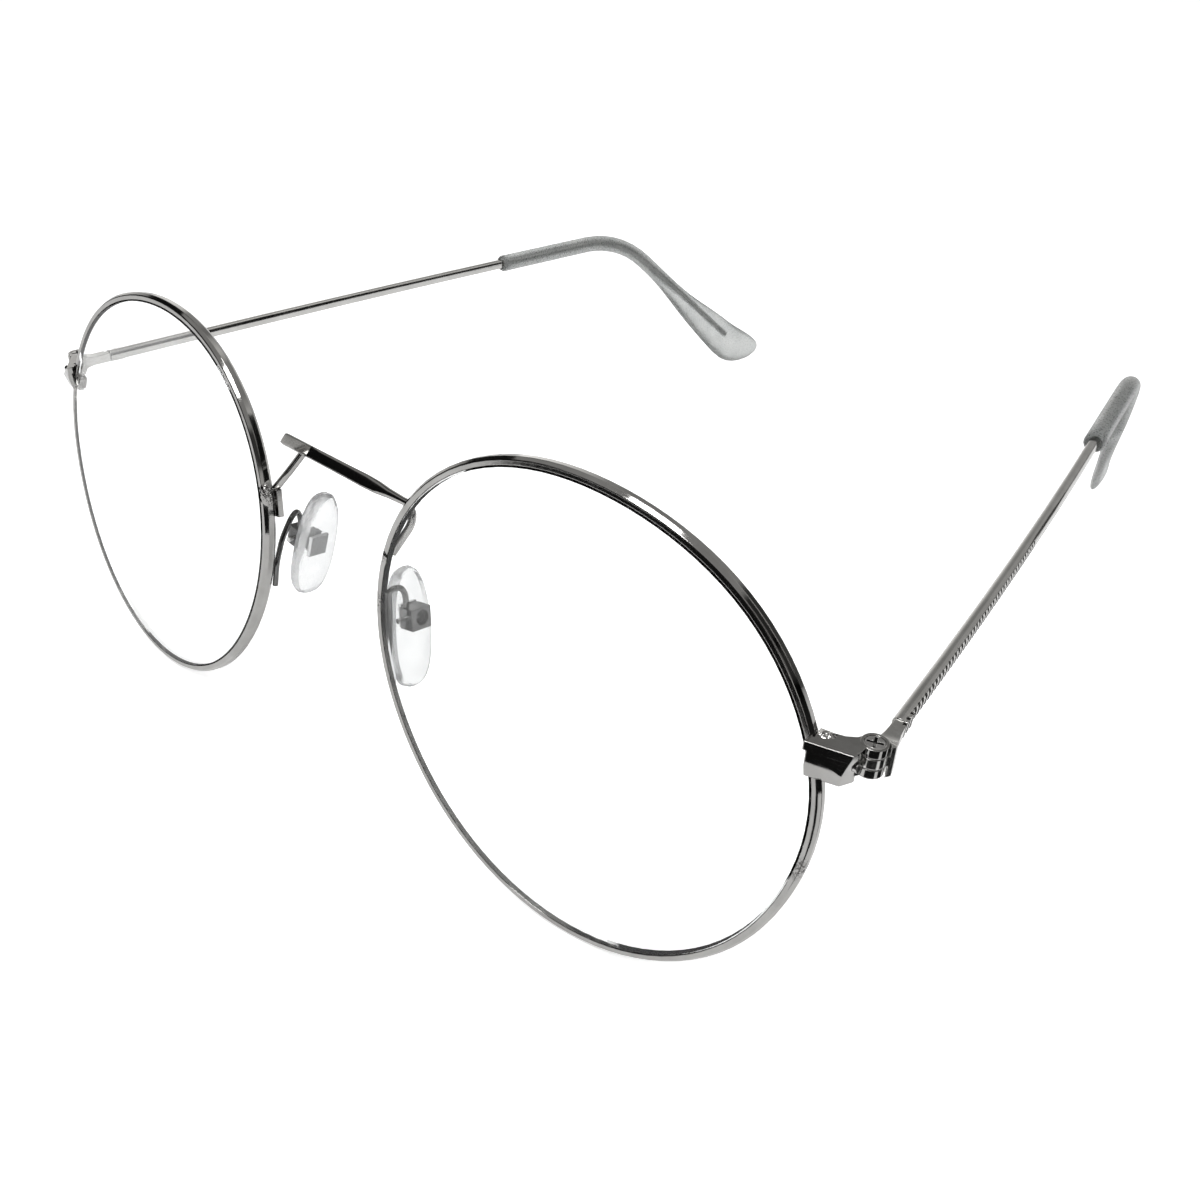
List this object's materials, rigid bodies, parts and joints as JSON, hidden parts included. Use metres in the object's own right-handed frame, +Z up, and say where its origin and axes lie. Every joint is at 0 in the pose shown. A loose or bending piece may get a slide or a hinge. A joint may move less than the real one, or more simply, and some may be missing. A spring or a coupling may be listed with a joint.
{
  "type": "eyeglasses",
  "caption": "Round wire-rim eyeglasses with clear lenses, a raised bar bridge, adjustable nose pads and slim temples that fold.",
  "frame": {"origin": "on the surface the glasses stand on, under the middle of their overall box", "axes": "+Z up, +Y from the lenses back to the ear ends, +X towards the wearer's left temple"},
  "size_m": [0.129, 0.1499, 0.0501],
  "materials": {
    "front_metal": "polished silver-grey plating",
    "temple_metal": "polished silver-grey plating with engraved slanted strokes",
    "pad_metal": "polished silver-grey plating",
    "screw_steel": "plated steel, bright",
    "lens_glass": "clear, coated against reflections",
    "pad_silicone": "clear soft plastic",
    "tip_plastic": "frosted grey, translucent"
  },
  "bodies": {
    "front": {"rim_left": "front_metal", "rim_right": "front_metal", "lens_left": "lens_glass", "lens_right": "lens_glass", "bridge": "front_metal", "end_piece_left": "front_metal", "end_piece_right": "front_metal", "rim_lock_left": "front_metal", "rim_lock_right": "front_metal", "lock_screw_left": "screw_steel", "lock_screw_right": "screw_steel", "hinge_rivet_left": "screw_steel", "hinge_rivet_right": "screw_steel", "hinge_screw_left": "screw_steel", "hinge_screw_right": "screw_steel", "pad_arm_left": "pad_metal", "pad_arm_right": "pad_metal", "pad_box_left": "pad_metal", "pad_box_right": "pad_metal", "pad_screw_left": "screw_steel", "pad_screw_right": "screw_steel"},
    "temple_left": {"temple_left": "temple_metal", "temple_tip_left": "tip_plastic"},
    "temple_right": {"temple_right": "temple_metal", "temple_tip_right": "tip_plastic"},
    "pad_left": {"nose_pad_left": "pad_silicone", "pad_insert_left": "pad_metal"},
    "pad_right": {"nose_pad_right": "pad_silicone", "pad_insert_right": "pad_metal"}
  },
  "joints": [
    {"name": "temple_fold_left", "type": "hinge", "parent": "front", "child": "temple_left", "pos_m": [0.0629, -0.0649, 0.033], "axis": [0.0209, 0, 0.9998], "range_deg": [0, 79]},
    {"name": "temple_fold_right", "type": "hinge", "parent": "front", "child": "temple_right", "pos_m": [-0.0629, -0.0649, 0.033], "axis": [-0.0209, 0, -0.9998], "range_deg": [0, 79]},
    {"name": "pad_tilt_left", "type": "hinge", "parent": "front", "child": "pad_left", "pos_m": [0.01113, -0.06905, 0.02605], "axis": [0.0282, 0.989, -0.1451], "range_deg": [-8, 8]},
    {"name": "pad_tilt_right", "type": "hinge", "parent": "front", "child": "pad_right", "pos_m": [-0.01156, -0.06678, 0.026], "axis": [-0.0282, 0.989, -0.1451], "range_deg": [-8, 8]}
  ]
}
